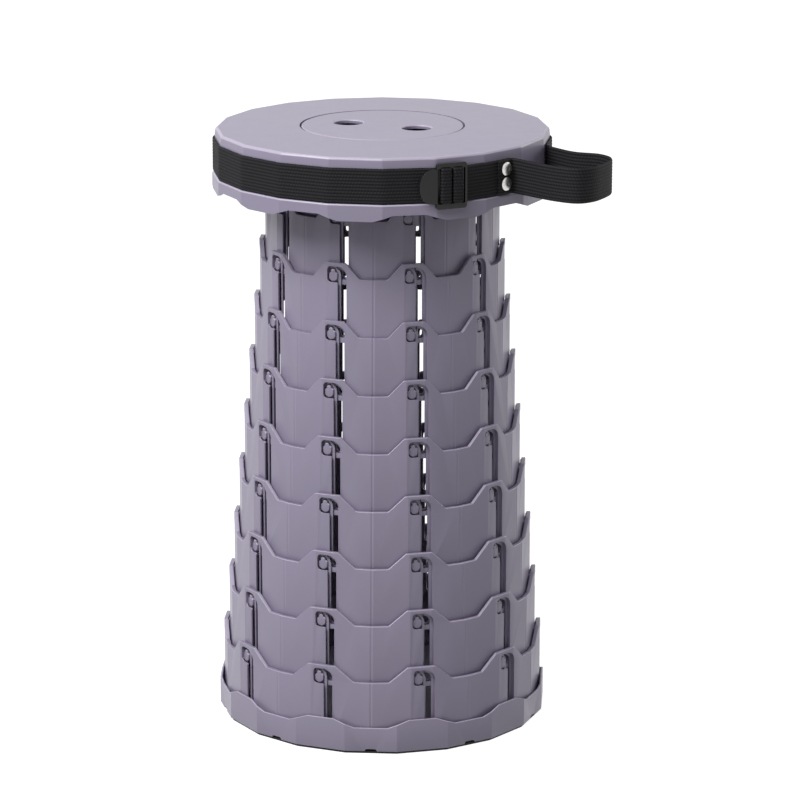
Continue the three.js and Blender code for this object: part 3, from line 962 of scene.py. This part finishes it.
for left, right in (
    (FRAME_LEFT + 0.8 * MM, BAND_BAR - BAR_HALF),
    (BAND_BAR + BAR_HALF, ANCHOR_BAR - BAR_HALF),
    (ANCHOR_BAR + BAR_HALF, FRAME_RIGHT - 1.6 * MM),
):
    window = rounded(
        [
            (left, middle - WINDOW_HALF, WINDOW_RADIUS),
            (right, middle - WINDOW_HALF, WINDOW_RADIUS),
            (right, middle + WINDOW_HALF, WINDOW_RADIUS),
            (left, middle + WINDOW_HALF, WINDOW_RADIUS),
        ]
    )
    windows.append(radial_block(window, BUCKLE_AZIMUTH, BUCKLE_BACK - 5 * MM, BUCKLE_BACK + 9 * MM))
carve(buckle, windows)
bevel(buckle, 0.6 * MM, 3, 40)
smooth(buckle, 40)
finish_piece(buckle, black_moulding(), "seat", "moulding", "buckle_frame")


# Rivets
# Two nickel-plated tubular rivets hold the loop's end and the anchor strap to the
# skirt. Each has a domed head with a fine dimple at its middle.


def nickel_plate():
    material, shader, make = new_material("rivet_nickel")
    place = object_coordinates(make)
    marks = make.node("ShaderNodeTexNoise", Vector=place, Scale=700, Detail=4)
    bump = make.node("ShaderNodeBump", Height=marks, Strength=0.15, Distance=0.0001)
    tone = blend(make, marks, linear(190, 188, 186), linear(226, 224, 221))
    connect(shader, Base_Color=tone, Metallic=1.0, Roughness=0.3 + 0.1 * marks, Normal=bump)
    return material


nickel = nickel_plate()
RIVET_SEAT = OUTER_LAYER + TAPE_THICKNESS / 2 + LAYER_GAP
RIVET_AZIMUTH = 45
head_profile = [
    (1.5, -4.0),
    (1.5, 0.0),
    (5.0, 0.0),
    (5.0, 0.5),
    (4.6, 0.95),
    (3.9, 1.35),
    (3.0, 1.7),
    (1.9, 1.93),
    (1.0, 2.0),
    (0.6, 1.85),
    (0.2, 1.8),
]
for name, node in (("rivet_upper_head", "rivet_upper"), ("rivet_lower_head", "rivet_lower")):
    low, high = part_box(node)
    rivet = turned(name, [(radius * MM, height * MM) for radius, height in head_profile], 32, 0)
    out = outward(RIVET_AZIMUTH)
    turn = Vector((0, 0, 1)).rotation_difference(out).to_matrix().to_4x4()
    place = out * RIVET_SEAT + Vector((0, 0, (low.z + high.z) / 2))
    rivet.data.transform(Matrix.Translation(place) @ turn)
    smooth(rivet, 40)
    finish_piece(rivet, nickel, "seat", "nickel", node)


# Studio
# A plain pale floor in a white surround, under a soft key lamp from the upper left, a
# long strip lamp over the front and a low lamp behind the right side. The camera
# looks slightly down at the front.


def seen_directly(make):
    """1 for what is seen straight, reflected or through a surface, and 0 for light on one."""
    camera_ray = make.node("ShaderNodeLightPath", output=0)
    glossy_ray = make.node("ShaderNodeLightPath", output=3)
    transmission_ray = make.node("ShaderNodeLightPath", output=6)
    return camera_ray + glossy_ray + transmission_ray


bpy.ops.mesh.primitive_plane_add(size=12, location=(0, 0, 0))
floor = bpy.context.active_object
floor.name = "studio_floor"
material, shader, make = new_material("floor_paper")
paper = blend(make, seen_directly(make), (0, 0, 0, 1), (0.92, 0.92, 0.92, 1))
connect(
    shader,
    Base_Color=(0.25, 0.25, 0.25, 1),
    Roughness=0.9,
    Emission_Color=paper,
    Emission_Strength=1.0,
)
floor.data.materials.append(material)

for name, place, width, depth, power in (
    ("key", (-1.7, -1.3, 2.5), 1.6, 1.6, 97),
    ("side", (2.5, 1.1, 1.1), 1.2, 1.2, 24),
    ("strip", (-0.6, -1.4, 2.6), 2.4, 0.3, 20),
):
    lamp = bpy.data.lights.new(name, "AREA")
    lamp.shape = "RECTANGLE"
    lamp.size = width
    lamp.size_y = depth
    lamp.energy = power
    holder = bpy.data.objects.new(name, lamp)
    bpy.context.scene.collection.objects.link(holder)
    aim = Vector((0, 0, 0.25)) - Vector(place)
    holder.location = place
    holder.rotation_euler = aim.to_track_quat("-Z", "Y").to_euler()

world = bpy.data.worlds.new("surround")
world.use_nodes = True
tree = world.node_tree
surround = next(n for n in tree.nodes if n.type == "BACKGROUND")
surround.inputs["Color"].default_value = (1, 1, 1, 1)
ON_OBJECT = 0.23
strength = ON_OBJECT + (1 - ON_OBJECT) * seen_directly(Wire(tree))
tree.links.new(strength.socket, surround.inputs["Strength"])
bpy.context.scene.world = world
bpy.context.scene.view_settings.view_transform = "Standard"

lens = bpy.data.cameras.new("camera")
camera = bpy.data.objects.new("camera", lens)
bpy.context.scene.collection.objects.link(camera)
SENSOR = 36
PICTURE = 800
FOCAL_LENGTH = 3772.3
MIDDLE_OF_STOOL = 382.3
DOWNWARD = 14.749
lens.sensor_width = SENSOR
lens.lens = FOCAL_LENGTH / PICTURE * SENSOR
lens.shift_x = (PICTURE / 2 - MIDDLE_OF_STOOL) / PICTURE
lens.clip_end = 50
camera.location = (0, -2.7651, 0.9675)
camera.rotation_euler = (math.radians(90 - DOWNWARD), 0, 0)
bpy.context.scene.camera = camera
